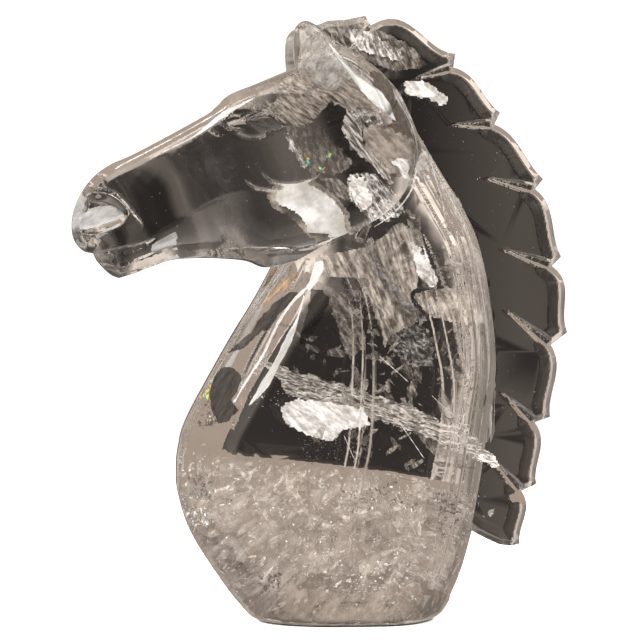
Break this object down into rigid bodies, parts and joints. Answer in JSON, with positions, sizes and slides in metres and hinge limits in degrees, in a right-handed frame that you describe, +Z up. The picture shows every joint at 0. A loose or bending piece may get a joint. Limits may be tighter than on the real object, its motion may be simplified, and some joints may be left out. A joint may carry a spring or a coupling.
{
  "type": "rock crystal horse head",
  "caption": "Horse's head and neck carved from one block of clear rock crystal, with pricked ears and a saw-toothed upright mane, standing on the flat cut of its neck",
  "frame": {"origin": "middle of the flat underside, on the middle plane between the two sides of the head", "axes": "+Z up, the face looks along -X, and the two sides mirror each other about Y = 0"},
  "size_m": [0.1653, 0.0588, 0.2],
  "materials": {
    "rock_crystal": "polished"
  },
  "bodies": {
    "root": {"horse_head": "rock_crystal"}
  },
  "joints": []
}
